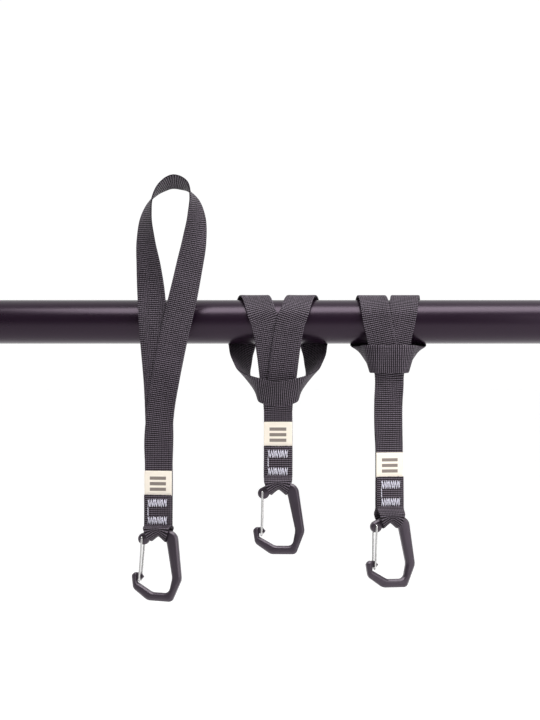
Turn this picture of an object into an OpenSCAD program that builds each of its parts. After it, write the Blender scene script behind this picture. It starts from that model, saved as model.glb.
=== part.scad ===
// Three webbing gear slings on a tube: one left open, one hitched loosely, one pulled tight.
// Millimetres. +X runs along the tube, the slings face -Y and hang along -Z.
// The origin is on the tube's axis at mid length.

/* [Tube] */
// Outside diameter
tube_d = 38; // [36:0.5:38]
// Wall thickness
tube_wall = 2; // [1:0.5:4]
// Length
tube_l = 520; // [500:10:600]

/* [Webbing] */
// Width of the strap
web_w = 25; // [24:0.5:25]
// Thickness of the strap
web_t = 1.6; // [1.2:0.1:1.6]
// Air between two plies, and between a ply and the tube
web_gap = 0.1; // [0.05:0.05:0.15]

/* [Label and stitching] */
// Height of the label that shows above the sewn flap
label_h = 20.5; // [15:0.5:24]
// Length of label that is tucked under the flap
label_tuck = 12; // [4:1:14]
// Thickness of the label tape
label_t = 0.5; // [0.3:0.1:0.5]
// Width of a bar-tack
tack_w = 17; // [12:0.5:20]
// Height of a bar-tack
tack_h = 7.3; // [5:0.1:7.5]
// From the flap's edge to the first bar-tack
tack_in = 3.5; // [2:0.5:3.5]
// From one bar-tack to the next
tack_pitch = 15; // [13:0.5:15]
// How far the thread stands off the strap
thread_t = 0.5; // [0.3:0.1:0.8]

/* [Carabiner] */
// Thickness of the body
body_t = 7; // [6:0.5:7]
// Bevel along every edge of the body
bevel = 1.6; // [1:0.1:1.8]
// Diameter of the gate wire
wire_d = 1.8; // [1.4:0.1:1.8]
// How far the gate is drawn open
gate_open = 0; // [0:1:28]

/* [Slings, left to right] */
// Where each sling stands along the tube
sling_x = [-96, 7, 103]; // [-200:1:200]
// Turn of each sewn end about the vertical
sling_yaw = [-15, -4, 18]; // [-30:1:30]
// Height of the flap's upper edge
flap_z = [-149, -107, -133.5]; // [-160:0.5:-105]
// From the flap's upper edge to the underside of the eye
eye_drop = [36, 38.3, 40.5]; // [36:0.1:42]
// Lean of each carabiner in its own plane
lean = [3, 0, 0]; // [0:0.5:3]

/* [Hidden] */
LEFT = 0;
MIDDLE = 1;
RIGHT = 2;

ply = web_t + web_gap;            // from one ply's middle to the next one's
wrap_r = tube_d/2 + 2*web_gap + web_t/2;  // middle of a strap that lies on the tube
slack = 2.6;                      // the straps stand this much higher over the tube's top
let_go = [0, 1.6, 1.8];           // and this far off it where they leave it underneath
front_y = [-30, -wrap_r - ply - 1, -wrap_r - ply - 1];  // depth of each sling's front leg
flap_y = -(web_t + 2*web_gap + label_t);  // the flap lies on the label, which lies on the front leg
mid_y = (flap_y + ply)/2;         // middle of the eye and of the carabiner
tack_end = tack_in + tack_pitch + tack_h;

// ---- Vectors and smooth curves through hand-set stations ----
// A station is [x, y, z, wx, wy, wz]: a point on the strap's centreline and its width direction.
function point(s) = [s[0], s[1], s[2]];
function width_dir(s) = [s[3], s[4], s[5]];
function unit(v) = v/norm(v);
function mix(a, b, t) = a + (b - a)*t;
function ease(t) = let (u = min(1, max(0, t))) u*u*(3 - 2*u);
function reverse(list) = [for (i = [len(list) - 1:-1:0]) list[i]];
function span(s, i) = norm(point(s[i + 1]) - point(s[i]));
function slope(s, i) =
    i == 0 ? (s[1] - s[0])/span(s, 0)
    : i == len(s) - 1 ? (s[i] - s[i - 1])/span(s, i - 1)
    : let (before = span(s, i - 1), after = span(s, i))
      ((s[i + 1] - s[i])*before/after + (s[i] - s[i - 1])*after/before)/(before + after);
function between(s, i, t) =
    let (h = span(s, i))
    s[i]*(2*t*t*t - 3*t*t + 1) + slope(s, i)*h*(t*t*t - 2*t*t + t)
    + s[i + 1]*(3*t*t - 2*t*t*t) + slope(s, i + 1)*h*(t*t*t - t*t);
function smooth(s, step) = [
    for (i = [0:len(s) - 2])
        let (n = ceil(span(s, i)/step))
        for (k = [0:n - 1]) between(s, i, k/n),
    s[len(s) - 1]
];

// ---- Solids made of sheets ----
// A grid of points becomes a closed sheet of one thickness.
function normal_at(g, i, j) =
    let (a = len(g) - 1, b = len(g[0]) - 1,
         along = g[min(a, i + 1)][j] - g[max(0, i - 1)][j],
         across = g[i][min(b, j + 1)] - g[i][max(0, j - 1)])
    unit(cross(along, across));
module sheet(g, thick) {
    rows = len(g);
    cols = len(g[0]);
    count = rows*cols;
    points = [
        for (side = [-1, 1])
            for (i = [0:rows - 1])
                for (j = [0:cols - 1]) g[i][j] + side*thick/2*normal_at(g, i, j)
    ];
    inner = [
        for (i = [0:rows - 2])
            for (j = [0:cols - 2])
                let (a = i*cols + j)
                each [[a, a + cols + 1, a + 1], [a, a + cols, a + cols + 1]]
    ];
    outer = [for (f = inner) [f[2] + count, f[1] + count, f[0] + count]];
    rim = concat(
        [for (j = [0:cols - 1]) j],
        [for (i = [1:rows - 1]) i*cols + cols - 1],
        [for (j = [cols - 2:-1:0]) (rows - 1)*cols + j],
        [for (i = [rows - 2:-1:1]) i*cols]
    );
    edge = [
        for (k = [0:len(rim) - 1])
            let (a = rim[k], b = rim[(k + 1) % len(rim)])
            each [[a, b, b + count], [a, b + count, a + count]]
    ];
    polyhedron(points, concat(inner, outer, edge), convexity = 8);
}
module strap(stations, step = 5) {
    s = smooth(stations, step);
    n = len(s) - 1;
    sheet([
        for (i = [0:n])
            let (along = unit(point(s[min(n, i + 1)]) - point(s[max(0, i - 1)])),
                 w = width_dir(s[i]),
                 across = unit(w - along*(w*along))*web_w/2)
            [point(s[i]) - across, point(s[i]) + across]
    ], web_t);
}

// ---- Where a sling's sewn end stands ----
// Its own frame has the front leg's middle at y = 0 and the flap's upper edge at z = 0.
module at_end(i) {
    translate([sling_x[i], front_y[i], flap_z[i]])
        rotate([0, 0, sling_yaw[i]])
            children();
}
module at_carabiner(i) {
    at_end(i) translate([0, mid_y, ref_above - eye_drop[i]]) rotate([0, lean[i], 0]) children();
}
function end_station(i, y, z) =
    let (c = cos(sling_yaw[i]), s = sin(sling_yaw[i]))
    [sling_x[i] - s*y, front_y[i] + c*y, flap_z[i] + z, c, s, 0];
// Stations of a ply that lies behind another by d
function behind(stations, d) = [
    for (s = stations) s + d*[-s[4], s[3], 0, 0, 0, 0]
];

// ---- The left sling: an open loop in front of the tube ----
// From the rear leg up, over the top and down the front leg. Points are measured from sling_x.
loop_route = [
    [0.9, -28.4, -102, 0.975, -0.22, 0],
    [-1.2, -28.2, -50, 0.97, -0.24, 0],
    [-4.9, -28.2, 0, 0.99, -0.12, 0],
    [-6.2, -28.4, 22, 0.97, -0.22, 0],
    [-8.4, -28.6, 46, 0.87, -0.48, 0],
    [-11, -28.8, 70, 0.66, -0.75, 0],
    [-10.4, -29, 91, 0.4, -0.92, 0.05],
    [-5.4, -29, 106, 0.16, -0.96, 0.2],
    [2.8, -29, 115.5, 0.06, -0.92, 0.38],
    [12.8, -29, 120.3, 0, -0.9, 0.44],
    [23, -29, 116.8, -0.06, -0.91, 0.4],
    [29.4, -29, 107.5, -0.28, -0.93, 0.22],
    [32.6, -29, 91, -0.6, -0.8, 0.05],
    [31, -29.2, 70, -0.82, -0.57, 0],
    [26.4, -29.8, 46, -0.93, -0.36, 0],
    [21.4, -30.8, 22, -0.98, -0.18, 0],
    [16.4, -31.9, 0, -1, 0.02, 0],
    [6.3, -32.5, -50, -0.97, 0.24, 0],
    [2.4, -31.8, -74, -0.965, 0.26, 0],
    [-0.2, -31, -102, -0.975, 0.22, 0]
];
function flipped(s) = [s[0], s[1], s[2], -s[3], -s[4], -s[5]];
loop_stations = concat(
    [for (z = [web_gap, label_h, label_h + 3]) end_station(LEFT, ply, z)],
    [for (s = loop_route) s + [sling_x[LEFT], 0, 0, 0, 0, 0]],
    [
        for (z = [label_h + 3, label_h, 0, web_gap - tack_end])
            flipped(end_station(LEFT, 0, z))
    ]
);

// ---- The hitches of the middle and right slings ----
// Each leg runs up the tube's front, over it and down its back, comes forward underneath as a
// wing, and the two wings meet as a band across the front of both legs.
// From the bottom up, [x, z] of a leg's centreline under the tube's middle
leg_route = [
    [],
    [[0.2, -75], [0.4, -71.5], [2.2, -60], [4, -45], [6.6, -25], [9, -10]],
    [[0.2, -47.5], [0.5, -44], [3, -34], [5.6, -21], [7.8, -10]]
];
wrap_from = [0, 11.2, 10.2];      // x of the leg at the tube's front
wrap_to = [0, 31, 20.3];          // x where the strap leaves the tube underneath
wrap_turn = [0, 226, 248];        // how far round the tube it has gone there
// Angles between which the front leg comes down from the rear leg's level to the tube
step_down = [[0, 0], [28, 62], [38, 78]];
// The wing and band, as pairs of points on the strap's outer and inner edge
wing_route = [
    [],
    [
        [[-43.1, 4.2, -21], [-21.5, 14.5, -28.2]],
        [[-41.8, -3.1, -27.9], [-22.9, 11.1, -36.1]],
        [[-38.8, -10.2, -34.1], [-24.1, 6.2, -45.9]],
        [[-35.6, -16, -39.9], [-21.5, -2, -55]],
        [[-29.5, -25.6, -43.9], [-17.6, -14.7, -63]],
        [[-20.3, -33.6, -47.3], [-14.3, -23.6, -69.3]],
        [[-10.4, -37.2, -50.1], [-9.3, -25.2, -71.9]]
    ],
    [
        [[-32.9, -0.5, -21.7], [-10.6, 6.6, -28.2]],
        [[-29.5, -8.6, -21.9], [-14.5, 4.6, -36.9]],
        [[-25, -16.5, -21], [-15.5, -7.5, -43]],
        [[-20.7, -25.3, -20.3], [-16.3, -20.9, -44.3]],
        [[-13, -30.6, -20.1], [-11.4, -26.6, -44.7]]
    ]
];
band_middle = [
    [],
    [0, -32, -62.2, 0, 0.52, -0.85],
    [0, -28.4, -32.5, 0, 0.2, -0.98]
];
function wrap_x(i, a) =
    wrap_from[i] + (wrap_to[i] - wrap_from[i])*pow(a/wrap_turn[i], 0.8);
function leg_r(i, a, front) =
    wrap_r + slack*max(0, sin(a)) + let_go[i]*ease((a - 180)/(wrap_turn[i] - 180))
    + (front ? ply*(1 - ease((a - step_down[i][0])/(step_down[i][1] - step_down[i][0]))) : 0);
function half_hitch(i, front) = concat(
    [
        for (p = leg_route[i])
            [-p[0], -leg_r(i, 0, front) - ease(-p[1]/25), p[1], 1, 0, 0]
    ],
    [
        for (k = [0:10])
            let (a = wrap_turn[i]*k/10, r = leg_r(i, a, front))
            [-wrap_x(i, a), -r*cos(a), r*sin(a), 1, 0, 0]
    ],
    [for (e = wing_route[i]) concat((e[0] + e[1])/2, unit(e[1] - e[0]))]
);
function mirrored(s) = [-s[0], s[1], s[2], -s[3], s[4], s[5]];
function hitch_stations(i) =
    let (left_in_front = i == RIGHT)
    [
        for (s = concat(
            half_hitch(i, left_in_front),
            [band_middle[i]],
            reverse([for (t = half_hitch(i, !left_in_front)) mirrored(t)])
        )) s + [sling_x[i], 0, 0, 0, 0, 0]
    ];

// ---- The hanging tails under the hitches ----
flex_gap = 1;                     // half the room left for the tail to bend under its hitch
flex_z = [0, -76, -48.5];         // height of that bend
tail_route = [
    [],
    [],
    [[-0.7, -68, 0.99, 0.1], [-0.6, -92, 0.97, 0.22]]
];
function tail_stations(i) = concat(
    [for (z = [0, 2.5]) [sling_x[i], front_y[i], flex_z[i] - flex_gap - z, 1, 0, 0]],
    [for (t = tail_route[i]) [sling_x[i] + t[0], front_y[i], t[1], t[2], t[3], 0]],
    [for (z = [label_h + 2, label_h, web_gap]) end_station(i, 0, z)]
);

// ---- Eye: the rear ply goes round the carabiner's bar and comes up as the front flap ----
ref_above = 3.6;                  // carabiner's own origin over the eye's underside
bar_half = 3.5;                   // half the height of the bar at its crown
bar_clear = 0.7;                  // room under the bar
eye_room = 6.6;                   // room either side of the bar
eye_bottom = 5.9;                 // half the strap's width where it is gathered round the bar
eye_shift = [0.25, 0.5, 0.5];     // the gathered strap sits this far to the spine side
arch_k = 0.74;
arch_r = 1.5;
function arch(x) = arch_k*(sqrt(x*x + arch_r*arch_r) - arch_r);
// Half of one lengthwise line of the eye, u from -1 to 1 across, side -1 in front and 1 behind
function eye_line(i, u, side) =
    let (flat_x = u*web_w/2,
         bar_x = eye_shift[i] + u*eye_bottom,
         flat_y = side < 0 ? flap_y : ply,
         wide_y = mid_y + side*(eye_room + web_t/2),
         deep = bar_clear + bar_half + web_t/2,
         bar_z = bar_clear + bar_half + web_t - eye_drop[i] - arch(u*eye_bottom) - tan(lean[i])*bar_x,
         shoulder_z = 8.8 - eye_drop[i])
    concat(
        [for (z = [0, -tack_end, -tack_end - 0.8]) [flat_x, flat_y, z]],
        [
            for (t = [0.35, 0.7, 1])
                [
                    mix(flat_x, bar_x, 0.28*t),
                    mix(flat_y, wide_y, ease(t)),
                    mix(-tack_end - 0.8, shoulder_z, t)
                ]
        ],
        [
            for (a = [0:22.5:67.5])
                [
                    mix(flat_x, bar_x, 0.75 + 0.25*sin(a)),
                    mid_y + side*(eye_room + web_t/2)*cos(a),
                    bar_z - deep*sin(a)
                ]
        ]
    );
function eye_grid(i) =
    let (columns = [
        for (u = [-1:0.25:1])
            let (front = eye_line(i, u, -1),
                 bar_x = eye_shift[i] + u*eye_bottom,
                 under_z = web_t/2 - eye_drop[i] - arch(u*eye_bottom) - tan(lean[i])*bar_x)
            concat(front, [[bar_x, mid_y, under_z]], reverse(eye_line(i, u, 1)))
    ])
    [for (k = [0:len(columns[0]) - 1]) [for (c = columns) c[k]]];

// ---- Carabiner outline, in its own x and z ----
// A corner is [x, z, radius]; an arc of that radius replaces its point.
hub = [-12.5, -6.4];
hub_r = 5;
hub_top = hub + hub_r*[cos(117), sin(117)];
outside = [
    [0.3, 5.9, 9],
    [17.2, 0.1, 8.5],
    [23, -39.5, 9],
    [15.4, -59, 4],
    [-6.4, -59, 8],
    [-19.8, -49.6, 6],
    [-21.7, -38, 3],
    [-18.9, -35.6, 1.8]
];
inside = [
    [-16.2, -35.6, 1.65],
    [-16.2, -44, 1],
    [-2.6, -51.7, 8],
    [12.4, -51.7, 5],
    [14.9, -38.5, 12],
    [8.9, -10.5, 2]
];
tooth = [[-18, -36.2], [-16.2, -35.6], [-13.4, -35.9], [-10.8, -39], [-12.4, -41.1], [-18, -41.1]];
hinge_at = [-13.2, -5];
arc_steps = 5;
function corner_arc(a, b, c) =
    let (p = [b[0], b[1]],
         u = unit([a[0], a[1]] - p),
         v = unit([c[0], c[1]] - p),
         half = acos(u*v)/2,
         back = b[2]/tan(half),
         centre = p + unit(u + v)*b[2]/sin(half),
         from = p + u*back - centre,
         to = p + v*back - centre,
         turn = acos(unit(from)*unit(to))*sign(from[0]*to[1] - from[1]*to[0]))
    [
        for (k = [0:arc_steps])
            let (t = turn*k/arc_steps)
            centre + [from[0]*cos(t) - from[1]*sin(t), from[0]*sin(t) + from[1]*cos(t)]
    ];
function rounded(corners, before, after) =
    let (all = concat([before], corners, [after]))
    [for (k = [1:len(corners)]) each corner_arc(all[k - 1], all[k], all[k + 1])];
// Once round clockwise: from under the hub, over the top and down the spine to the nose, then
// back along the inner edge and through the arch that the eye hangs in.
outer_edge = concat(
    [for (a = [250:-19:117]) hub + hub_r*[cos(a), sin(a)]],
    rounded(outside, hub_top, inside[0])
);
inner_edge = concat(
    rounded(inside, outside[len(outside) - 1], [7.9, -7]),
    [for (x = [7.4:-0.925:-7.4]) [x + 0.5, -1.4 - arch(x)]],
    [for (a = [-20:-22.5:-65]) hub + hub_r*[cos(a), sin(a)]]
);
function inset(line, d) = [
    for (i = [0:len(line) - 1])
        let (n = len(line),
             a = unit(line[i] - line[(i + n - 1) % n]),
             b = unit(line[(i + 1) % n] - line[i]),
             na = [a[1], -a[0]],
             nb = [b[1], -b[0]])
        line[i] + (na + nb)*d/(1 + na*nb)
];
// Triangles that fill the band between its two edges; i and n - 1 - j are places on the line
function laced(line, i, j, i_end, j_end) =
    let (n = len(line),
         far = 1000,
         step_i = i < i_end ? norm(line[i + 1] - line[n - 1 - j]) : far,
         step_j = j < j_end ? norm(line[i] - line[n - 2 - j]) : far)
    i == i_end && j == j_end ? []
    : step_i < step_j ? concat([[i, i + 1, n - 1 - j]], laced(line, i + 1, j, i_end, j_end))
    : concat([[i, n - 2 - j, n - 1 - j]], laced(line, i, j + 1, i_end, j_end));
module beveled_band(outer, inner, thick, cut) {
    line = concat(outer, inner);
    n = len(line);
    small = inset(line, cut);
    layers = [[small, -thick/2], [line, cut - thick/2], [line, thick/2 - cut], [small, thick/2]];
    points = [for (l = layers) for (p = l[0]) [p[0], l[1], p[1]]];
    front = laced(small, 0, 0, len(outer) - 1, len(inner) - 1);
    back = [for (f = front) [f[2] + 3*n, f[1] + 3*n, f[0] + 3*n]];
    walls = [
        for (k = [0:2])
            for (i = [0:n - 1])
                let (a = k*n + i, b = k*n + (i + 1) % n)
                each [[b, a, a + n], [b, a + n, b + n]]
    ];
    polyhedron(points, concat(front, walls, back), convexity = 8);
}

// ---- Gate wire ----
wire_r = wire_d/2;
hub_half = 3.2;                   // the hub's faces are recessed to let the wire lie flush
wire_top_y = hub_half + 0.2 + wire_r;
wire_low_y = 3.2;
wire_low = [-0.9, -36.3];         // foot of a leg, from the hinge
wire_bend = 1.2;
pin_end = 1;
hole_clear = 0.05;
module rod(from, to) {
    d = to - from;
    translate(from)
        rotate([0, acos(d[2]/norm(d)), atan2(d[1], d[0])])
            cylinder(r = wire_r, h = norm(d), $fn = 24);
}
module bead(at) {
    translate(at) sphere(r = wire_r, $fn = 24);
}

// ---- Sub-parts ----
module tube() {
    color([0.12, 0.11, 0.12])
        rotate([0, 90, 0])
            difference() {
                cylinder(d = tube_d, h = tube_l, center = true, $fn = 96);
                cylinder(d = tube_d - 2*tube_wall, h = tube_l + 2, center = true, $fn = 96);
            }
}
module loop() {
    color([0.3, 0.26, 0.29]) strap(loop_stations);
}
module hitch(i) {
    color([0.3, 0.26, 0.29]) strap(hitch_stations(i), 3.2);
}
module tail_front(i) {
    color([0.34, 0.3, 0.32])
        strap(concat(tail_stations(i), [end_station(i, 0, web_gap - tack_end)]), 9);
}
module tail_rear(i) {
    color([0.27, 0.23, 0.26]) strap(behind(tail_stations(i), ply), 9);
}
module eye(i) {
    color([0.33, 0.29, 0.31]) at_end(i) sheet(eye_grid(i), web_t);
}
module label(i) {
    back = web_t/2 + web_gap/2;
    color([0.96, 0.92, 0.86])
        at_end(i)
            translate([-web_w/2 + 0.2, -back - label_t, -label_tuck])
                cube([web_w - 0.4, label_t, label_h + label_tuck]);
}
module stitches(i, w, h, x, z) {
    color([0.82, 0.8, 0.88])
        at_end(i)
            translate([x - w/2, flap_y - web_t/2 - thread_t - 0.02, z - h])
                cube([w, thread_t, h]);
}
module tack(i, row) {
    stitches(i, tack_w, tack_h, 0, -tack_in - row*tack_pitch);
}
module run_stitch(i) {
    stitches(i, 0.9, tack_pitch - tack_h - 0.2, -tack_w/2, -tack_in - tack_h - 0.1);
}
module carabiner(i) {
    color([0.24, 0.22, 0.24])
        at_carabiner(i)
            difference() {
                union() {
                    beveled_band(outer_edge, inner_edge, body_t, bevel);
                    rotate([90, 0, 0])
                        linear_extrude(3.4, center = true) polygon(tooth);
                }
                translate([hinge_at[0], 0, hinge_at[1]])
                    rotate([90, 0, 0])
                        cylinder(r = wire_r + hole_clear, h = body_t + 2, center = true, $fn = 32);
                for (side = [-1, 1])
                    translate([hub[0], side*(hub_half + 1), hub[1]])
                        rotate([90, 0, 0])
                            cylinder(r = hub_r + 1.2, h = 2, center = true, $fn = 48);
            }
}
module gate(i) {
    color([0.78, 0.78, 0.8])
        at_carabiner(i)
            translate([hinge_at[0], 0, hinge_at[1]])
                rotate([0, -gate_open, 0])
                    for (side = [-1, 1]) {
                        knee = [0, side*wire_top_y, 0];
                        foot = [wire_low[0], side*wire_low_y, wire_low[1]];
                        sole = [wire_low[0], side*(wire_low_y - wire_bend), wire_low[1] - wire_bend];
                        rod([0, side*pin_end, 0], knee);
                        bead(knee);
                        rod(knee, foot);
                        bead(foot);
                        rod(foot, sole);
                        bead(sole);
                        rod(sole, [wire_low[0], 0, sole[2]]);
                    }
}

tube();
loop();  // left_loop
eye(LEFT);  // left_eye
label(LEFT);  // left_label
tack(LEFT, 0);  // left_tack_upper
tack(LEFT, 1);  // left_tack_lower
run_stitch(LEFT);  // left_run_stitch
carabiner(LEFT);  // left_carabiner
gate(LEFT);  // left_gate
hitch(MIDDLE);  // middle_hitch
tail_front(MIDDLE);  // middle_tail_front
tail_rear(MIDDLE);  // middle_tail_rear
eye(MIDDLE);  // middle_eye
label(MIDDLE);  // middle_label
tack(MIDDLE, 0);  // middle_tack_upper
tack(MIDDLE, 1);  // middle_tack_lower
run_stitch(MIDDLE);  // middle_run_stitch
carabiner(MIDDLE);  // middle_carabiner
gate(MIDDLE);  // middle_gate
hitch(RIGHT);  // right_hitch
tail_front(RIGHT);  // right_tail_front
tail_rear(RIGHT);  // right_tail_rear
eye(RIGHT);  // right_eye
label(RIGHT);  // right_label
tack(RIGHT, 0);  // right_tack_upper
tack(RIGHT, 1);  // right_tack_lower
run_stitch(RIGHT);  // right_run_stitch
carabiner(RIGHT);  // right_carabiner
gate(RIGHT);  // right_gate
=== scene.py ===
"""Webbing gear slings with wire-gate carabiners on a tube: the looks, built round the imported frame."""
import math
import random

import bmesh
import bpy
import numpy as np
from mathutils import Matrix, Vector
from mathutils.geometry import tessellate_polygon


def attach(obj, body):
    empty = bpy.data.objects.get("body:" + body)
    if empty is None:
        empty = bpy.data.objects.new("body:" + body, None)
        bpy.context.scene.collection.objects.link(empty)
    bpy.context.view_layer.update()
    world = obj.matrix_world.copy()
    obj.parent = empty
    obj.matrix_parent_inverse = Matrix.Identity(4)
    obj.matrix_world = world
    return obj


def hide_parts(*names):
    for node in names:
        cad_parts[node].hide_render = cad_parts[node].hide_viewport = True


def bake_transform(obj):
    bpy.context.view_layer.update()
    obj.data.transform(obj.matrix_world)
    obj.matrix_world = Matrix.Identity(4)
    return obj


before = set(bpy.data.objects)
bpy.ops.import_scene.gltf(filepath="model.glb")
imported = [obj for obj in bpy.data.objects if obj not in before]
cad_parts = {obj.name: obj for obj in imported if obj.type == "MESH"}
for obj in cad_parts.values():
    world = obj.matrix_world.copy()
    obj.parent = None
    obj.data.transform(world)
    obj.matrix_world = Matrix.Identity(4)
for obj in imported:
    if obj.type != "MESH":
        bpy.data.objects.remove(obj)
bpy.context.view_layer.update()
random.seed(7)
MM = 0.001

# ---- Sizes, as in the part's own source, in millimetres ----
LEFT, RIGHT = 0, 2
NAMES = ["left", "middle", "right"]
TUBE_D, TUBE_WALL, TUBE_L = 38.0, 2.0, 520.0
WEB_W, WEB_T, GAP = 25.0, 1.6, 0.1
LABEL_H, LABEL_TUCK, LABEL_T = 20.5, 12.0, 0.5
TACK_W, TACK_H, TACK_IN, TACK_PITCH = 17.0, 7.3, 3.5, 15.0
WIRE_D = 1.8
SLING_X = [-96.0, 7.0, 103.0]
SLING_YAW = [-15.0, -4.0, 18.0]
FLAP_Z = [-149.0, -107.0, -133.5]
EYE_DROP = [36.0, 38.3, 40.5]
LEAN = [3.0, 0.0, 0.0]
PLY = WEB_T + GAP
WRAP_R = TUBE_D / 2 + 2 * GAP + WEB_T / 2
SLACK = 2.6  # the straps stand this much higher over the tube's top
LET_GO = [0, 1.6, 1.8]  # and this far off it where they leave it underneath
FRONT_Y = [-30.0, -WRAP_R - PLY - 1, -WRAP_R - PLY - 1]
FLAP_Y = -(WEB_T + 2 * GAP + LABEL_T)
MID_Y = (FLAP_Y + PLY) / 2
TACK_END = TACK_IN + TACK_PITCH + TACK_H
RIB = 1.72  # pitch of the cross ribs
YARN = WEB_W / 16  # pitch of the lengthwise yarns


# ---- Curves and strap stations ----
def unit(v):
    v = np.asarray(v, float)
    return v / np.linalg.norm(v, axis=-1, keepdims=True)


def mix(a, b, t):
    return a + (b - a) * t


def ease(t):
    t = min(1.0, max(0.0, t))
    return t * t * (3 - 2 * t)


def rotated(x, y, deg):
    c, s = math.cos(math.radians(deg)), math.sin(math.radians(deg))
    return c * x - s * y, s * x + c * y


def spline(rows, spans, steps):
    """Rows joined by a smooth curve. steps(i, span) gives the places in span i."""
    n = len(rows)
    slope = []
    for i in range(n):
        if i == 0:
            slope.append((rows[1] - rows[0]) / spans[0])
        elif i == n - 1:
            slope.append((rows[-1] - rows[-2]) / spans[-1])
        else:
            a, b = spans[i - 1], spans[i]
            rise = (rows[i + 1] - rows[i]) * a / b + (rows[i] - rows[i - 1]) * b / a
            slope.append(rise / (a + b))
    out = []
    for i in range(n - 1):
        for t in steps(i, spans[i]):
            h = spans[i]
            out.append(
                rows[i] * (2 * t**3 - 3 * t * t + 1)
                + slope[i] * h * (t**3 - 2 * t * t + t)
                + rows[i + 1] * (3 * t * t - 2 * t**3)
                + slope[i + 1] * h * (t**3 - t * t)
            )
    return out


def dense(stations, step):
    rows = [np.array(s, float) for s in stations]
    spans = [float(np.linalg.norm(rows[i + 1][:3] - rows[i][:3])) for i in range(len(rows) - 1)]

    def steps(i, h):
        k = math.ceil(h / step)
        return [j / k for j in range(k)]

    return spline(rows, spans, steps) + [rows[-1]]


def end_station(i, y, z):
    c, s = rotated(1, 0, SLING_YAW[i])
    dx, dy = rotated(0, y, SLING_YAW[i])
    return [SLING_X[i] + dx, FRONT_Y[i] + dy, FLAP_Z[i] + z, c, s, 0]


def behind(stations, d):
    return [[s[0] - d * s[4], s[1] + d * s[3], *s[2:]] for s in stations]


def flipped(s):
    return [*s[:3], -s[3], -s[4], -s[5]]


def mirrored(s):
    return [-s[0], s[1], s[2], -s[3], s[4], s[5]]


# The open loop: x, y, z of the strap's middle, then the direction across it
LOOP_ROUTE = [
    [0.9, -28.4, -102, 0.975, -0.22, 0],
    [-1.2, -28.2, -50, 0.97, -0.24, 0],
    [-4.9, -28.2, 0, 0.99, -0.12, 0],
    [-6.2, -28.4, 22, 0.97, -0.22, 0],
    [-8.4, -28.6, 46, 0.87, -0.48, 0],
    [-11, -28.8, 70, 0.66, -0.75, 0],
    [-10.4, -29, 91, 0.4, -0.92, 0.05],
    [-5.4, -29, 106, 0.16, -0.96, 0.2],
    [2.8, -29, 115.5, 0.06, -0.92, 0.38],
    [12.8, -29, 120.3, 0, -0.9, 0.44],
    [23, -29, 116.8, -0.06, -0.91, 0.4],
    [29.4, -29, 107.5, -0.28, -0.93, 0.22],
    [32.6, -29, 91, -0.6, -0.8, 0.05],
    [31, -29.2, 70, -0.82, -0.57, 0],
    [26.4, -29.8, 46, -0.93, -0.36, 0],
    [21.4, -30.8, 22, -0.98, -0.18, 0],
    [16.4, -31.9, 0, -1, 0.02, 0],
    [6.3, -32.5, -50, -0.97, 0.24, 0],
    [2.4, -31.8, -74, -0.965, 0.26, 0],
    [-0.2, -31, -102, -0.975, 0.22, 0],
]
# The hitches: each leg's x and z below the tube, then its turn round the tube, then the wing's outer and
# inner edge on its way to the band in front
LEG_ROUTE = [
    [],
    [[0.2, -75], [0.4, -71.5], [2.2, -60], [4, -45], [6.6, -25], [9, -10]],
    [[0.2, -47.5], [0.5, -44], [3, -34], [5.6, -21], [7.8, -10]],
]
WRAP_FROM = [0, 11.2, 10.2]  # x where the strap starts its turn round the tube
WRAP_TO = [0, 31, 20.3]  # and where it ends it
WRAP_TURN = [0, 226, 248]  # degrees
STEP_DOWN = [[0, 0], [28, 62], [38, 78]]  # degrees over which the upper leg comes down on the tube
WING_ROUTE = [
    [],
    [
        [[-43.1, 4.2, -21], [-21.5, 14.5, -28.2]],
        [[-41.8, -3.1, -27.9], [-22.9, 11.1, -36.1]],
        [[-38.8, -10.2, -34.1], [-24.1, 6.2, -45.9]],
        [[-35.6, -16, -39.9], [-21.5, -2, -55]],
        [[-29.5, -25.6, -43.9], [-17.6, -14.7, -63]],
        [[-20.3, -33.6, -47.3], [-14.3, -23.6, -69.3]],
        [[-10.4, -37.2, -50.1], [-9.3, -25.2, -71.9]],
    ],
    [
        [[-32.9, -0.5, -21.7], [-10.6, 6.6, -28.2]],
        [[-29.5, -8.6, -21.9], [-14.5, 4.6, -36.9]],
        [[-25, -16.5, -21], [-15.5, -7.5, -43]],
        [[-20.7, -25.3, -20.3], [-16.3, -20.9, -44.3]],
        [[-13, -30.6, -20.1], [-11.4, -26.6, -44.7]],
    ],
]
BAND_MIDDLE = [[], [0, -32, -62.2, 0, 0.52, -0.85], [0, -28.4, -32.5, 0, 0.2, -0.98]]
FLEX_Z = [0, -76, -48.5]  # height of the bend under each hitch
# The right tail's x, z and direction across between its hitch and its label
TAIL_ROUTE = [[], [], [[-0.7, -68, 0.99, 0.1], [-0.6, -92, 0.97, 0.22]]]


def leg_r(i, a, front):
    """Distance of a hitch's strap from the tube's axis, a degrees round from the front."""
    r = WRAP_R + SLACK * max(0.0, math.sin(math.radians(a)))
    r += LET_GO[i] * ease((a - 180) / (WRAP_TURN[i] - 180))
    if not front:
        return r
    return r + PLY * (1 - ease((a - STEP_DOWN[i][0]) / (STEP_DOWN[i][1] - STEP_DOWN[i][0])))


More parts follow.
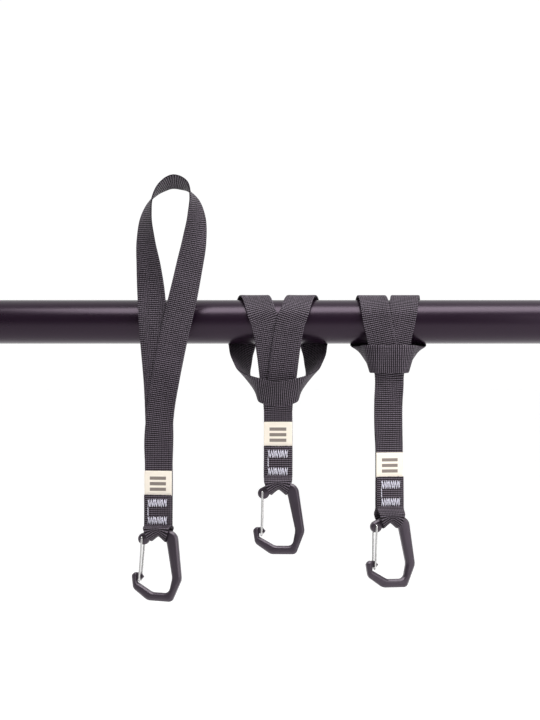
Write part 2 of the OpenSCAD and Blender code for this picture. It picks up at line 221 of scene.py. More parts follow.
def half_hitch(i, front):
    """One side of a hitch, from its leg over the tube and round to the band."""
    out = [[-x, -leg_r(i, 0, front) - ease(-z / 25), z, 1, 0, 0] for x, z in LEG_ROUTE[i]]
    for k in range(11):
        a = WRAP_TURN[i] * k / 10
        x = WRAP_FROM[i] + (WRAP_TO[i] - WRAP_FROM[i]) * (a / WRAP_TURN[i]) ** 0.8
        r = leg_r(i, a, front)
        out.append([-x, -r * math.cos(math.radians(a)), r * math.sin(math.radians(a)), 1, 0, 0])
    for outer, inner in WING_ROUTE[i]:
        outer, inner = np.array(outer), np.array(inner)
        out.append([*((outer + inner) / 2), *unit(inner - outer)])
    return out


def hitch_stations(i):
    left_in_front = i == RIGHT
    rows = (
        half_hitch(i, left_in_front)
        + [BAND_MIDDLE[i]]
        + [mirrored(s) for s in half_hitch(i, not left_in_front)][::-1]
    )
    return [[s[0] + SLING_X[i], *s[1:]] for s in rows]


def tail_stations(i):
    """The hanging front ply, from just under the hitch down to the label."""
    out = [[SLING_X[i], FRONT_Y[i], FLEX_Z[i] - z, 1, 0, 0] for z in (1, 3.5)]
    out += [[SLING_X[i] + x, FRONT_Y[i], z, wx, wy, 0] for x, z, wx, wy in TAIL_ROUTE[i]]
    return out + [end_station(i, 0, z) for z in (LABEL_H + 2, LABEL_H, GAP)]


# ---- The strap's surface ----
# Places across the strap, in millimetres from its middle, closer together at the rounded edges
ACROSS = np.array([-12.5, -12.28, -11.7, *np.linspace(-10.8, 10.8, 21), 11.7, 12.28, 12.5])
U = ACROSS / (WEB_W / 2)


def ribbon(stations, step=4.0):
    """Rows of points across the strap at each station of a route."""
    s = dense(stations, step)
    rows = []
    for k in range(len(s)):
        along = unit(s[min(len(s) - 1, k + 1)][:3] - s[max(0, k - 1)][:3])
        w = s[k][3:]
        w = unit(w - along * (w @ along))
        rows.append(s[k][:3] + np.outer(ACROSS, w))
    return rows


EYE_ROOM = 6.6  # room either side of the bar
EYE_BOTTOM = 6.9  # half the strap's width where it is gathered round the bar
EYE_SHIFT = [0.35, 0.5, 0.5]  # the gathered strap sits this far to the spine side
EYE_SHOULDER = 7.2  # where the eye is fullest, over its underside
BAR_HALF, BAR_CLEAR = 3.5, 0.7
ARCH_K, ARCH_R = 0.92, 1.5


def arch(x):
    """How far the bar, and the strap round it, fall away at x from their middle."""
    return ARCH_K * (np.sqrt(x * x + ARCH_R * ARCH_R) - ARCH_R)


def placed(i, points):
    """Points of sling i's sewn end, in the row's frame."""
    p = np.asarray(points, float)
    x, y = rotated(p[..., 0], p[..., 1], SLING_YAW[i])
    return np.stack([x + SLING_X[i], y + FRONT_Y[i], p[..., 2] + FLAP_Z[i]], -1)


def eye_rows(i):
    """From the flap's upper edge down the front, under the bar and up the back ply."""
    bar_x = EYE_SHIFT[i] + U * EYE_BOTTOM
    drop = arch(U * EYE_BOTTOM) + bar_x * math.tan(math.radians(LEAN[i]))
    bar_z = BAR_CLEAR + BAR_HALF + WEB_T - EYE_DROP[i] - drop
    shoulder = EYE_SHOULDER - EYE_DROP[i]

    def side(which):
        flat_y = FLAP_Y if which < 0 else PLY
        wide_y = MID_Y + which * (EYE_ROOM + WEB_T / 2)
        rows = [(ACROSS, flat_y, z + 0 * U) for z in (0, -TACK_END, -TACK_END - 0.8)]
        for t in (0.35, 0.7, 1.0):
            rows.append((
                mix(ACROSS, bar_x, 0.12 * t),
                mix(flat_y, wide_y, ease(t)),
                mix(-TACK_END - 0.8, shoulder, t) + 0 * U,
            ))
        for a in (0, 22.5, 45, 67.5):
            s, c = math.sin(math.radians(a)), math.cos(math.radians(a))
            rows.append((
                mix(ACROSS, bar_x, 0.5 + 0.5 * s),
                MID_Y + which * (EYE_ROOM + WEB_T / 2) * c,
                bar_z - (BAR_CLEAR + BAR_HALF + WEB_T / 2) * s,
            ))
        return [np.stack([x, y + 0 * U, z], -1) for x, y, z in rows]

    under = np.stack([bar_x, MID_Y + 0 * U, WEB_T / 2 - EYE_DROP[i] - drop], -1)
    return [placed(i, r) for r in side(-1) + [under] + side(1)[::-1]]


def even_rows(rows, step):
    """The same surface with rows evenly spaced along it, and each row's distance from the start."""
    rows = [np.asarray(r) for r in rows]
    spans = [float(np.linalg.norm(rows[i + 1] - rows[i], axis=1).mean()) for i in range(len(rows) - 1)]
    starts = np.concatenate([[0], np.cumsum(spans)])
    count = int(starts[-1] / step)
    places = [[] for _ in spans]
    dist = np.linspace(0, starts[-1] - 1e-6, count + 1)
    for d in dist:
        i = min(len(spans) - 1, int(np.searchsorted(starts, d, side="right")) - 1)
        places[i].append((d - starts[i]) / spans[i])
    return np.array(spline(rows, spans, lambda i, h: places[i])), dist


def strap_rows(i):
    eye = eye_rows(i)
    inner_end = flipped(end_station(i, 0, GAP - TACK_END))
    if i == LEFT:
        stations = [end_station(i, PLY, z) for z in (LABEL_H, LABEL_H + 3)]
        stations += [[s[0] + SLING_X[i], *s[1:]] for s in LOOP_ROUTE]
        stations += [flipped(end_station(i, 0, z)) for z in (LABEL_H + 3, LABEL_H, 0)] + [inner_end]
        return eye + ribbon([end_station(i, PLY, 0)] + stations)[1:]
    hitch = hitch_stations(i)
    if i == RIGHT:
        hitch = [flipped(s) for s in hitch[::-1]]
    tail = tail_stations(i)
    rear = behind(tail, PLY)[::-1]
    front = [flipped(s) for s in tail] + [inner_end]
    return eye + ribbon(rear + hitch + front)[1:]


def mesh_object(name, verts, faces, uvs=None):
    me = bpy.data.meshes.new(name)
    me.from_pydata([tuple(v) for v in np.asarray(verts) * MM], [], faces)
    if uvs is not None:
        layer = me.uv_layers.new(name="weave")
        index = np.empty(len(me.loops), np.int32)
        me.loops.foreach_get("vertex_index", index)
        layer.data.foreach_set("uv", np.asarray(uvs, np.float32)[index].ravel())
    me.polygons.foreach_set("use_smooth", [True] * len(me.polygons))
    me.update()
    me.validate()
    o = bpy.data.objects.new(name, me)
    bpy.context.scene.collection.objects.link(o)
    return o


RIB_DEPTH, ROUGH = 0.16, 0.03  # relief of the ribs and of the yarns' unevenness
SCALLOP, WANDER, FRAY = 0.28, 0.10, 0.35  # relief of the long edges and of the cut ends


def strap(i, name):
    """One sling's whole strap, ribbed, with rounded edges."""
    grid, dist = even_rows(strap_rows(i), RIB / 4)
    n, cols = len(grid), len(ACROSS)
    along = np.gradient(grid, axis=0)
    side = np.gradient(grid, axis=1)
    normal = unit(np.cross(along, side))
    rng = np.random.default_rng(20 + i)
    rib = 0.5 + 0.5 * np.cos(2 * np.pi * dist / RIB)
    edge = np.clip((np.abs(ACROSS) - 11.2) / 1.3, 0, 1)  # 0 on the flat, 1 at the rounded rim
    half = WEB_T / 2 * np.sqrt(np.clip(1 - edge**2, 0, 1))
    depth = half[None, :] - RIB_DEPTH * (1 - rib)[:, None] * np.sqrt(1 - edge**2)[None, :]
    depth -= ROUGH * rng.random((n, cols)) * (half > 0.3)[None, :]
    # the edges are scalloped by the weft turning back, and are never quite straight
    pull = (edge**2)[None, :] * (SCALLOP * (1 - rib) + WANDER * np.sin(dist / 9.0 + i))[:, None]
    centre = grid.mean(axis=1, keepdims=True)
    grid = grid - unit(grid - centre + 1e-9) * np.abs(pull)[..., None]
    # heat-cut ends
    for end, row in ((0, 0), (1, n - 1)):
        fray = FRAY * rng.random(cols) * (1 if end == 0 else -1)
        grid[row] += along[row] / np.linalg.norm(along[row], axis=1)[:, None] * fray[:, None]
    top, bottom = grid + normal * depth[..., None], grid - normal * depth[..., None]
    ring = 2 * cols - 2
    verts = np.concatenate([top, bottom[:, -2:0:-1]], axis=1).reshape(-1, 3)
    u = np.concatenate([ACROSS, ACROSS[-2:0:-1]]) / WEB_W + 0.5
    uv = np.stack([np.tile(u, n), np.repeat(dist / WEB_W, ring)], -1)
    r, c = np.meshgrid(np.arange(n - 1), np.arange(ring), indexing="ij")
    a = (r * ring + c).ravel()
    b = (r * ring + (c + 1) % ring).ravel()
    faces = np.stack([a, b, b + ring, a + ring], -1).tolist()
    for row, turn in ((0, 1), (n - 1, -1)):
        base = row * ring
        f = [base + k for k in range(cols)]
        g = [base + (ring - k) % ring for k in range(cols)]
        for k in range(cols - 1):
            q = [f[k + 1], f[k], g[k], g[k + 1]]
            q = [v for j, v in enumerate(q) if v not in q[:j]]
            faces.append(q[::turn])
    return mesh_object(name, verts, faces, uv)


# ---- Materials ----
class Net:
    """Writes a material's arithmetic as sums of values."""

    def __init__(self, name):
        self.mat = bpy.data.materials.new(name)
        self.mat.use_nodes = True
        self.tree = self.mat.node_tree
        self.bsdf = self.tree.nodes["Principled BSDF"]

    def node(self, kind, **settings):
        n = self.tree.nodes.new(kind)
        for k, v in settings.items():
            setattr(n, k, v)
        return n

    def plug(self, value, socket):
        if isinstance(value, Val):
            self.tree.links.new(value.out, socket)
        else:
            socket.default_value = value

    def math(self, op, *args):
        n = self.node("ShaderNodeMath", operation=op)
        for k, a in enumerate(args):
            self.plug(a, n.inputs[k])
        return Val(self, n.outputs[0])

    def uv(self):
        n = self.node("ShaderNodeSeparateXYZ")
        self.tree.links.new(self.node("ShaderNodeUVMap", uv_map="weave").outputs[0], n.inputs[0])
        return Val(self, n.outputs[0]), Val(self, n.outputs[1])

    def place(self):
        return self.node("ShaderNodeTexCoord").outputs["Object"]

    def noise(self, scale, detail=3.0, rough=0.5, stretch=None):
        n = self.node("ShaderNodeTexNoise")
        n.inputs["Scale"].default_value = scale
        n.inputs["Detail"].default_value = detail
        n.inputs["Roughness"].default_value = rough
        at = self.place()
        if stretch:
            m = self.node("ShaderNodeMapping")
            m.inputs["Scale"].default_value = stretch
            self.tree.links.new(at, m.inputs[0])
            at = m.outputs[0]
        self.tree.links.new(at, n.inputs["Vector"])
        return Val(self, n.outputs[0])

    def blend(self, t, a, b):
        n = self.node("ShaderNodeMix", data_type="RGBA")
        self.plug(t, n.inputs["Factor"])
        for value, key in ((a, 6), (b, 7)):
            self.plug(value if isinstance(value, Val) else (*value, 1), n.inputs[key])
        return Val(self, n.outputs[2])

    def bump(self, height, distance, strength=1.0):
        n = self.node("ShaderNodeBump")
        n.inputs["Distance"].default_value = distance
        n.inputs["Strength"].default_value = strength
        self.plug(height, n.inputs["Height"])
        self.tree.links.new(n.outputs[0], self.bsdf.inputs["Normal"])

    def set(self, **values):
        for k, v in values.items():
            self.plug(v, self.bsdf.inputs[k.replace("_", " ")])
        return self.mat


class Val:
    def __init__(self, net, out):
        self.net, self.out = net, out

    def __add__(self, o):
        return self.net.math("ADD", self, o)

    def __sub__(self, o):
        return self.net.math("SUBTRACT", self, o)

    def __rsub__(self, o):
        return self.net.math("SUBTRACT", o, self)

    def __mul__(self, o):
        return self.net.math("MULTIPLY", self, o)

    def __truediv__(self, o):
        return self.net.math("DIVIDE", self, o)

    def __pow__(self, o):
        return self.net.math("POWER", self, o)

    __radd__ = __add__

    def f(self, op, *args):
        return self.net.math(op, self, *args)

    def clamp(self):
        return self.f("MAXIMUM", 0.0).f("MINIMUM", 1.0)


def webbing_material():
    m = Net("webbing")
    u, v = m.uv()
    x, s = u * WEB_W, v * WEB_W
    # warp yarns lie side by side and dip together between the ribs, every second one deeper
    yarn = x / YARN
    across = (1.0 - ((yarn.f("FRACT") - 0.5) * 2.0).f("ABSOLUTE") ** 2.4).f("MAXIMUM", 0.0)
    pair = (x * (math.pi / (2 * YARN))).f("SINE").f("ABSOLUTE")
    rib = (s * (2 * math.pi / RIB)).f("COSINE") * 0.5 + 0.5
    lift = (rib + pair * 0.16).clamp()
    twist = ((x * 9.0 + s * 5.0).f("SINE") * 0.5 + 0.5) * 0.16
    fuzz = m.noise(2600, 2.0)
    cloud = m.noise(38, 3.0)
    height = lift * (across * 0.5 + 0.5) - twist + fuzz * 0.18
    # the colour follows the relief: painted shade in the dips between yarns and ribs, painted sheen on the
    # rib tops, plus random lighter and darker blotches from the cloud noise
    dip_shade_rib_sheen = (height * 1.05 + (cloud - 0.5) * 0.3).clamp() ** 2.6
    base = m.blend(dip_shade_rib_sheen, (0.0022, 0.0015, 0.0023), (0.143, 0.117, 0.147))
    m.bump(height, 0.00030)
    return m.set(Base_Color=base, Roughness=0.62 - dip_shade_rib_sheen * 0.14, Specular_IOR_Level=0.14)


def label_material():
    m = Net("label")
    u, v = m.uv()
    x, z = u * WEB_W, v * WEB_W
    thread = (x * (2 * math.pi / 0.55)).f("SINE") * 0.5 + 0.5
    pick = (z * (2 * math.pi / 0.42)).f("SINE") * 0.5 + 0.5
    height = thread * 0.4 + pick * 0.6 + m.noise(1800, 2.0) * 0.3

    def band(value, middle, half):
        return (1.0 - ((value - middle).f("ABSOLUTE") - half) * 8.0).clamp()

    # three plain woven bars
    mark = band(x, 12.4, 7.2) * (
        band(z, 4.6, 1.35) + band(z, 9.4, 1.35) + band(z, 14.2, 1.35)
    ).clamp()
    # pale ground, dark marks
    cream = m.blend(pick, (0.76, 0.68, 0.57), (0.88, 0.815, 0.73))
    taupe = m.blend(pick, (0.17, 0.143, 0.125), (0.26, 0.22, 0.195))
    base = m.blend(mark, cream, taupe)
    m.bump(height + mark * 0.5, 0.00008)
    return m.set(Base_Color=base, Roughness=0.8, Sheen_Weight=0.2, Specular_IOR_Level=0.25)


def thread_material():
    m = Net("thread")
    fuzz = m.noise(2400, 2.0)
    base = m.blend(fuzz, (0.50, 0.48, 0.58), (0.76, 0.74, 0.83))
    m.bump(fuzz, 0.00008)
    return m.set(Base_Color=base, Roughness=0.55, Sheen_Weight=0.3)


def body_material():
    m = Net("carabiner_body")
    grain = m.noise(1500, 4.0)
    patch = m.noise(60, 3.0)
    base = m.blend(patch, (0.020, 0.015, 0.021), (0.031, 0.024, 0.033))
    m.bump(grain, 0.00004, 0.5)
    return m.set(
        Base_Color=base, Metallic=0.1, Roughness=0.30 + grain * 0.12, Specular_IOR_Level=0.5,
        Specular_Tint=(1.0, 0.86, 1.0, 1), Coat_Weight=0.12, Coat_Roughness=0.1,
    )


def wire_material():
    m = Net("gate_wire")
    grain = m.noise(400, 3.0, stretch=(6, 6, 0.6))
    base = m.blend(grain, (0.50, 0.49, 0.49), (0.68, 0.67, 0.67))
    m.bump(grain, 0.00002, 0.5)
    return m.set(Base_Color=base, Metallic=1.0, Roughness=0.20 + grain * 0.12)


def tube_material():
    m = Net("tube")
    grain = m.noise(900, 4.0)
    patch = m.noise(14, 3.0, stretch=(0.4, 1, 1))
    base = m.blend(patch, (0.006, 0.0018, 0.0062), (0.0095, 0.0042, 0.0102))
    m.bump(grain, 0.00003, 0.4)
    return m.set(
        Base_Color=base, Roughness=0.24 + patch * 0.08, Specular_IOR_Level=0.33,
        Specular_Tint=(1.0, 0.8, 1.0, 1),
    )


WEBBING = webbing_material()
LABEL = label_material()
THREAD = thread_material()
BODY = body_material()
WIRE = wire_material()
TUBE = tube_material()


def dress(o, material, slot, body, *nodes):
    o.data.materials.clear()
    o.data.materials.append(material)
    if nodes:
        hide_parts(*nodes)
    if body:
        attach(o, body)
    return o


# ---- Tube ----
def lathe_tube():
    """The open tube, its rims rounded by k."""
    ro, ri, h, k = TUBE_D / 2, TUBE_D / 2 - TUBE_WALL, TUBE_L / 2, 0.5
    outline = [(-h + k, ro), (h - k, ro), (h - k * 0.3, ro - k * 0.3), (h, ro - k)]
    outline += [(h, ri + k), (h - k * 0.3, ri + k * 0.3), (h - k, ri), (-h + k, ri)]
    outline += [(-h + k * 0.3, ri + k * 0.3), (-h, ri + k), (-h, ro - k), (-h + k * 0.3, ro - k * 0.3)]
    n, m = 144, len(outline)
    verts = [
        (x, r * math.cos(2 * math.pi * j / n), r * math.sin(2 * math.pi * j / n))
        for j in range(n)
        for x, r in outline
    ]
    faces = [
        (j * m + k, j * m + (k + 1) % m, (j + 1) % n * m + (k + 1) % m, (j + 1) % n * m + k)
        for j in range(n)
        for k in range(m)
    ]
    o = mesh_object("tube_shell", verts, faces)
    o.data.set_sharp_from_angle(angle=math.radians(30))
    return o


# ---- Threads ----
TACK_THREAD_R, TACK_LIFT = 0.21, 0.34
RUN_THREAD_R, RUN_LIFT, DASHES = 0.36, 0.3, 3
SINK = 0.6  # how deep a stitch's ends go into the cloth, as a share of its lift


def rod_mesh(path, radius, sides, verts, faces):
    """Adds a round thread along a path to verts and faces."""
    p = np.asarray(path, float)
    n = len(p)
    t = unit(np.gradient(p, axis=0))
    up = np.array([0.0, 1.0, 0.0])
    if abs(t[0] @ up) > 0.9:
        up = np.array([1.0, 0.0, 0.0])
    start = len(verts)
    for k in range(n):
        side = unit(np.cross(t[k], up))
        up = unit(np.cross(side, t[k]))
        for j in range(sides):
            a = 2 * math.pi * j / sides
            verts.append(p[k] + radius * (math.cos(a) * side + math.sin(a) * up))
    for k in range(n - 1):
        for j in range(sides):
            a, b = start + k * sides + j, start + k * sides + (j + 1) % sides
            faces.append((a, b, b + sides, a + sides))
    faces.append(tuple(start + j for j in range(sides))[::-1])
    faces.append(tuple(start + (n - 1) * sides + j for j in range(sides)))


def stitch_path(a, b, out):
    """One stitch from a to b over the cloth: it rises out of the cloth and goes back in."""
    steps = [(0, -SINK), (0.06, 0.35), (0.2, 0.9), (0.5, 1.0), (0.8, 0.9), (0.94, 0.35), (1, -SINK)]
    return [np.array([mix(a[0], b[0], t), out * h, mix(a[1], b[1], t)]) for t, h in steps]


def bar_tack(i, row, name, back=False):
    """Two passes of zigzag thread across the strap."""
    rng = random.Random(100 * i + 10 * row + back)
    verts, faces = [], []
    face_y = (PLY + WEB_T / 2) if back else (FLAP_Y - WEB_T / 2)
    out = TACK_LIFT if back else -TACK_LIFT
    top = -TACK_IN - row * TACK_PITCH
    for layer, (count, shrink) in enumerate(((17, 0.0), (11, 0.6))):
        for k in range(count):
            x0 = -TACK_W / 2 + TACK_W * k / count
            x1 = x0 + TACK_W / count
            hi = top - shrink - 0.8 * rng.random()
            lo = top - TACK_H + shrink + 0.8 * rng.random()
            ends = ((x0, hi), (x1, lo)) if (k + layer) % 2 else ((x0, lo), (x1, hi))
            lift = out * (1 + 0.55 * layer)
            path = [p + [0, face_y, 0] for p in stitch_path(*ends, lift)]
            rod_mesh(placed(i, path), TACK_THREAD_R, 6, verts, faces)
    return mesh_object(name, verts, faces)


def run_stitch(i, name, back=False):
    """The dashes down one side that join the two bar-tacks."""
    verts, faces = [], []
    face_y = (PLY + WEB_T / 2) if back else (FLAP_Y - WEB_T / 2)
    out = RUN_LIFT if back else -RUN_LIFT
    top = -TACK_IN - TACK_H - 0.1
    length = TACK_PITCH - TACK_H - 0.2
    for k in range(DASHES):
        z0 = top - 0.3 - k * length / DASHES
        start, end = (-TACK_W / 2, z0), (-TACK_W / 2 + 0.2, z0 - length / DASHES + 0.9)
        path = [p + [0, face_y, 0] for p in stitch_path(start, end, out)]
        rod_mesh(placed(i, path), RUN_THREAD_R, 8, verts, faces)
    return mesh_object(name, verts, faces)


# ---- Label ----
def label(i, name):
    """The woven tape on the front leg; its lower end is tucked under the flap."""
    w, n = WEB_W / 2 - 0.2, 24
    back = WEB_T / 2 + GAP / 2
    xs = [-w, -w + 0.12, *np.linspace(-w + 0.8, w - 0.8, n), w - 0.12, w]
    zs = [-LABEL_TUCK, -LABEL_TUCK + 0.12, *np.linspace(-LABEL_TUCK + 1, LABEL_H - 1, 30)]
    zs += [LABEL_H - 0.12, LABEL_H]
    rng = random.Random(5 + i)
    wave = [rng.uniform(0, 6.28) for _ in range(3)]
    front, rear, uv = [], [], []
    for z in zs:
        for x in xs:
            edge = min(w - abs(x), LABEL_H - z, 0.25)
            ripple = 0.05 * math.sin(x * 0.7 + wave[0]) + 0.05 * math.sin(z * 0.5 + wave[1])
            lift = 0.05 * max(0.0, z - 14) / 6
            y = -back - LABEL_T + 0.06 + (0.25 - edge) * 0.5
            tucked = x * (0.9 if z < -0.8 else 1.0)
            front.append((tucked, y + ripple * 0.5 - lift, z))
            rear.append((tucked, -back, z))
            uv.append((x / WEB_W + 0.5, z / WEB_W))
    cols, rows = len(xs), len(zs)
    count = cols * rows
    faces = []
    for r in range(rows - 1):
        for c in range(cols - 1):
            a = r * cols + c
            faces.append((a, a + 1, a + cols + 1, a + cols))
            faces.append((a + count, a + cols + count, a + cols + 1 + count, a + 1 + count))
    rim = list(range(cols)) + [r * cols + cols - 1 for r in range(1, rows)]
    rim += [(rows - 1) * cols + c for c in range(cols - 2, -1, -1)]
    rim += [r * cols for r in range(rows - 2, 0, -1)]
    for a, b in zip(rim, rim[1:] + rim[:1]):
        faces.append((a, a + count, b + count, b))
    o = mesh_object(name, placed(i, front + rear), faces, uv + uv)
    o.data.set_sharp_from_angle(angle=math.radians(50))
    return o


# ---- Carabiner ----
HUB, HUB_R = np.array([-12.5, -6.4]), 5.0
HUB_HALF, CUT_END = 3.2, 6.0  # half the hub's thickness, and how far the cutters reach
HOLE_R = 0.95
# A corner is (x, z, radius); an arc of that radius replaces its point
OUTSIDE = [
    (0.3, 5.9, 9), (17.2, 0.1, 8.5), (23, -39.5, 9), (15.4, -59, 4), (-6.4, -59, 8),
    (-19.8, -49.6, 6), (-21.7, -38, 3), (-18.9, -35.6, 1.8),
]
INSIDE = [
    (-16.2, -35.6, 1.65), (-16.2, -44, 1), (-2.6, -51.7, 8), (12.4, -51.7, 5),
    (14.9, -38.5, 12), (8.9, -10.5, 2),
]
TOOTH = [(-18, -36.2), (-16.2, -35.6), (-13.4, -35.9), (-10.8, -39), (-12.4, -41.1), (-18, -41.1)]
HINGE = (-13.2, -5.0)
REF_ABOVE = 3.6


def corner_arc(a, b, c, steps=12):
    """The arc of radius b[2] that replaces corner b between a and c."""
    p = np.array(b[:2], float)
    u, v = unit(np.array(a[:2]) - p), unit(np.array(c[:2]) - p)
    half = math.acos(float(np.clip(u @ v, -1, 1))) / 2
    centre = p + unit(u + v) * b[2] / math.sin(half)
    start, end = p + u * b[2] / math.tan(half) - centre, p + v * b[2] / math.tan(half) - centre
    turn = math.atan2(start[0] * end[1] - start[1] * end[0], start @ end)
    out = []
    for k in range(steps + 1):
        x, y = rotated(start[0], start[1], math.degrees(turn * k / steps))
        out.append(centre + [x, y])
    return out


def rounded(corners, before, after):
    every = [before, *corners, after]
    return [p for k in range(1, len(corners) + 1) for p in corner_arc(*every[k - 1:k + 2])]


def on_hub(a):
    return HUB + HUB_R * np.array([math.cos(math.radians(a)), math.sin(math.radians(a))])


def body_outline():
    """Round the hub, down the outside, up the inside and back along under the bar."""
    bar_end, bar_reach, bar_x, bar_z = (7.9, -7), 7.4, 0.5, -1.4
    line = [on_hub(a) for a in np.linspace(250, 117, 22)]
    line += rounded(OUTSIDE, on_hub(117), INSIDE[0])
    line += rounded(INSIDE, OUTSIDE[-1], bar_end)
    places = np.linspace(bar_reach, -bar_reach, 33)
    line += [np.array([x + bar_x, bar_z - arch(x)]) for x in places]
    line += [on_hub(a) for a in np.linspace(-20, -87, 12)]
    return np.array(line)


def inset(line, d):
    """A closed outline moved inward by d."""
    a = unit(line - np.roll(line, 1, axis=0))
    b = unit(np.roll(line, -1, axis=0) - line)
    na, nb = np.stack([a[:, 1], -a[:, 0]], -1), np.stack([b[:, 1], -b[:, 0]], -1)
    return line + (na + nb) * d / np.maximum(0.4, 1 + (na * nb).sum(1, keepdims=True))


def plate(line, profile, verts, faces):
    """A closed plate whose edge follows profile, pairs of (inset, y) from one face to the other."""
    n, start = len(line), len(verts)
    for d, y in profile:
        verts.extend([(p[0], y, p[1]) for p in inset(line, d)])
    for k in range(len(profile) - 1):
        for j in range(n):
            a, b = start + k * n + j, start + k * n + (j + 1) % n
            faces.append((a, a + n, b + n, b))
    flat = [Vector((p[0], p[1], 0)) for p in inset(line, profile[0][0])]
    for tri in tessellate_polygon([flat]):
        p, q, r = (flat[t] for t in tri)
        if (q - p).cross(r - p).z > 0:
            tri = tri[::-1]
        faces.append(tuple(start + t for t in tri[::-1]))
        faces.append(tuple(start + (len(profile) - 1) * n + t for t in tri))


# The body's rounded edge as (inset, y), from its flat face to its rim
EDGE = [(2.6, 3.5), (2.1, 3.45), (1.7, 3.31), (1.35, 3.05), (0.30, 2.0), (0.08, 1.75), (0.0, 1.45)]


def carve(o, cutters):
    """Takes the cutters' volume out of o and removes them."""
    for c in cutters:
        mod = o.modifiers.new("cut", "BOOLEAN")
        mod.operation, mod.object, mod.solver = "DIFFERENCE", c, "EXACT"
    bpy.context.view_layer.update()
    done = bpy.data.meshes.new_from_object(o.evaluated_get(bpy.context.evaluated_depsgraph_get()))
    o.modifiers.clear()
    o.data = done
    for c in cutters:
        bpy.data.objects.remove(c)


def disc(centre, radius, y0, y1, n=64):
    """A round plug along Y, from y0 to y1, for cutting."""
    turns = [2 * math.pi * k / n for k in range(n)]
    ring = [(centre[0] + radius * math.cos(a), centre[1] + radius * math.sin(a)) for a in turns]
    verts = [(x, y0, z) for x, z in ring] + [(x, y1, z) for x, z in ring]
    faces = [tuple(range(n)), tuple(range(2 * n - 1, n - 1, -1))]
    faces += [(k, k + n, (k + 1) % n + n, (k + 1) % n) for k in range(n)]
    return verts, faces


def to_carabiner(i, o):
    """Moves a mesh from the carabiner's own frame to its place."""
    n = len(o.data.vertices)
    co = np.empty(n * 3)
    o.data.vertices.foreach_get("co", co)
    p = co.reshape(-1, 3) / MM
    z, x = rotated(p[:, 2], p[:, 0], LEAN[i])
    p = np.stack([x, p[:, 1], z], -1) + [0, MID_Y, REF_ABOVE - EYE_DROP[i]]
    o.data.vertices.foreach_set("co", (placed(i, p) * MM).ravel())
    o.data.update()
    return o


def carabiner(i, name):
    verts, faces = [], []
    plate(body_outline(), EDGE + [(d, -y) for d, y in EDGE[::-1]], verts, faces)
    o = mesh_object(name, verts, faces)
    cutters = []
    for k, (c, r, y0, y1) in enumerate((
        (HUB, HUB_R + 1.2, HUB_HALF, CUT_END), (HUB, HUB_R + 1.2, -CUT_END, -HUB_HALF),
        (HINGE, HOLE_R, -CUT_END, CUT_END),
    )):
        cutters.append(mesh_object(f"cutter_{k}", *disc(c, r, y0, y1)))
    carve(o, cutters)
    bm = bmesh.new()
    bm.from_mesh(o.data)
    verts, faces = [], []
    line = np.array(rounded([(*p, 0.35) for p in TOOTH], TOOTH[-1], TOOTH[0]))
    tooth = [(0.5, 1.7), (0.15, 1.55), (0.0, 1.2)]
    plate(line, tooth + [(d, -y) for d, y in tooth[::-1]], verts, faces)
    t = mesh_object("tooth", verts, faces)
    bm.from_mesh(t.data)
    bpy.data.objects.remove(t)
    bmesh.ops.recalc_face_normals(bm, faces=bm.faces)
    bm.to_mesh(o.data)
    bm.free()
    o.data.polygons.foreach_set("use_smooth", [True] * len(o.data.polygons))
    o.data.set_sharp_from_angle(angle=math.radians(38))
    return to_carabiner(i, o)


def gate(i, name):
    """One bent wire: in through the hub, down one side, round the foot and up the other side."""
    r = WIRE_D / 2
    top_y, low_y, bend = HUB_HALF + 0.2 + r, 3.2, 1.2
    x, z = -0.9, -36.3  # the foot, from the hinge
    half = [
        (0, 1.0, 0), (0, top_y - 1.3, 0), (0, top_y - 0.4, -0.15), (0, top_y, -0.9),
        (x * 0.06, top_y, -2.2), (x * 0.3, top_y - 0.3, -11), (x * 0.65, mix(top_y, low_y, 0.7), -24),
        (x, low_y, z + 1.6), (x, low_y - 0.1, z), (x, low_y - 0.45, z - 0.75), (x, low_y - 1.2, z - bend),
        (x, 1.0, z - bend),
    ]
    path = half + [(a, -b, c) for a, b, c in half[::-1]]
    pts = [np.array(p, float) for p in path]
    spans = [float(np.linalg.norm(pts[k + 1] - pts[k])) for k in range(len(pts) - 1)]

    def steps(k, h):
        n = max(2, math.ceil(h / 0.9))
        return [j / n for j in range(n)]

    line = spline(pts, spans, steps) + [pts[-1]]
    verts, faces = [], []
    rod_mesh(np.array(line) + [HINGE[0], 0, HINGE[1]], r, 18, verts, faces)
    return to_carabiner(i, mesh_object(name, verts, faces))


# ---- Building it ----
dress(lathe_tube(), TUBE, "tube", "bar", "tube")
for i, n in enumerate(NAMES):
    sewn = "left_sling" if i == LEFT else f"{n}_tail"
    web = strap(i, f"{n}_strap")
    if i == LEFT:
        dress(web, WEBBING, "webbing", sewn, "left_loop", "left_eye")
    else:
        dress(web, WEBBING, "webbing", None, f"{n}_hitch", f"{n}_tail_front", f"{n}_tail_rear", f"{n}_eye")
        at = [SLING_X[i] * MM, (FRONT_Y[i] + PLY / 2) * MM]
        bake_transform(web)
    dress(label(i, f"{n}_label_tape"), LABEL, "label", sewn, f"{n}_label")
    for row, word in enumerate(("upper", "lower")):
        dress(bar_tack(i, row, f"{n}_bar_tack_{word}"), THREAD, "thread", sewn, f"{n}_tack_{word}")
        dress(bar_tack(i, row, f"{n}_bar_tack_{word}_back", True), THREAD, "thread", sewn)
    dress(run_stitch(i, f"{n}_stitches"), THREAD, "thread", sewn, f"{n}_run_stitch")
    dress(run_stitch(i, f"{n}_stitches_back", True), THREAD, "thread", sewn)
    dress(carabiner(i, f"{n}_body"), BODY, "carabiner_body", f"{n}_carabiner", f"{n}_carabiner")
    dress(gate(i, f"{n}_wire"), WIRE, "gate_wire", f"{n}_gate", f"{n}_gate")

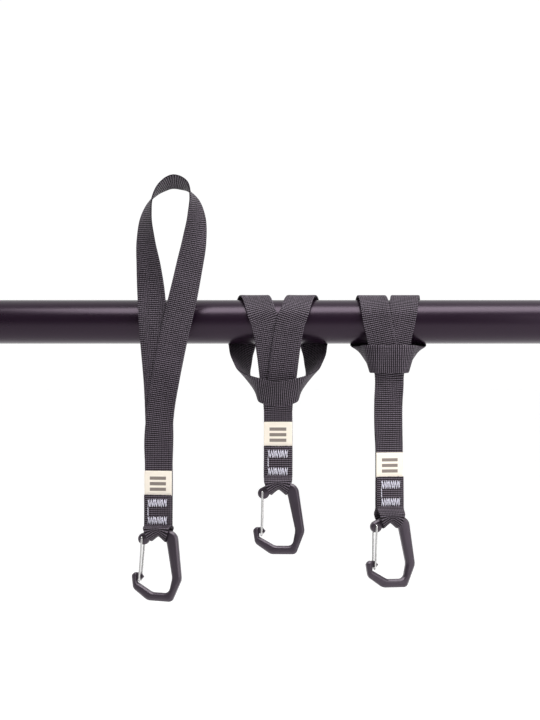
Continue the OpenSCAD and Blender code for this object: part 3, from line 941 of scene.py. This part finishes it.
# ---- Floor, light and camera ----
floor_mesh = bpy.data.meshes.new("floor")
size, low = 40.0, -0.45
corners = [(-size, -size, low), (size, -size, low), (size, size, low), (-size, size, low)]
floor_mesh.from_pydata(corners, [], [(0, 1, 2, 3)])
floor = bpy.data.objects.new("floor", floor_mesh)
bpy.context.scene.collection.objects.link(floor)
pale = Net("floor")
spot = pale.node("ShaderNodeSeparateXYZ")
pale.tree.links.new(pale.place(), spot.inputs[0])
# the floor glows as painted light: no glow in front of the object, rising to half strength behind it,
# which whitens the ground behind and lights the object from below
glow = (Val(pale, spot.outputs[1]) * 0.9 + 0.45).clamp() * 0.5
floor_mesh.materials.append(pale.set(
    Base_Color=(0.72, 0.72, 0.72, 1), Roughness=0.9,
    Emission_Color=(1, 1, 1, 1), Emission_Strength=glow,
))

world = bpy.data.worlds.new("studio")
world.use_nodes = True
sky = world.node_tree
# the studio is darker in front of the object than behind it and beside it
toward, parts = sky.nodes.new("ShaderNodeTexCoord"), sky.nodes.new("ShaderNodeSeparateXYZ")
fade = sky.nodes.new("ShaderNodeMapRange")
fade.interpolation_type = "SMOOTHSTEP"
for key, value in (("From Min", -0.6), ("From Max", 0.45), ("To Min", 0.2), ("To Max", 1.03)):
    fade.inputs[key].default_value = value
sky.links.new(toward.outputs["Generated"], parts.inputs[0])
sky.links.new(parts.outputs[1], fade.inputs["Value"])
sky.nodes["Background"].inputs[0].default_value = (1, 1, 1, 1)
sky.links.new(fade.outputs["Result"], sky.nodes["Background"].inputs[1])
bpy.context.scene.world = world


def softbox(name, at, aim, wide, tall, watts):
    """A rectangular light at one place, turned toward another."""
    data = bpy.data.lights.new(name, "AREA")
    data.shape, data.size, data.size_y, data.energy = "RECTANGLE", wide, tall, watts
    o = bpy.data.objects.new(name, data)
    o.location = at
    o.rotation_mode = "QUATERNION"
    o.rotation_quaternion = (Vector(aim) - Vector(at)).to_track_quat("-Z", "Y")
    bpy.context.scene.collection.objects.link(o)


softbox("overhead", (0.3, -0.66, 1.65), (0.1, 0, 0), 2.4, 1.0, 62)
softbox("front_right", (1.9, -1.5, 0.5), (0, 0, -0.05), 1.2, 1.4, 24)

cam_data = bpy.data.cameras.new("camera")
cam_data.lens, cam_data.sensor_width = 150, 36
cam = bpy.data.objects.new("camera", cam_data)
bpy.context.scene.collection.objects.link(cam)
bpy.context.scene.camera = cam
view_height, view_middle = 0.6207, -0.0332  # metres seen from top to bottom, and the height looked at
strap_plane = -0.025  # where that height is seen
cam.location = (0, strap_plane - view_height * cam_data.lens / cam_data.sensor_width, view_middle)
cam.rotation_euler = (math.radians(90), 0, 0)
cam_data.clip_start, cam_data.clip_end = 0.05, 200
bpy.context.scene.view_settings.view_transform = "Standard"
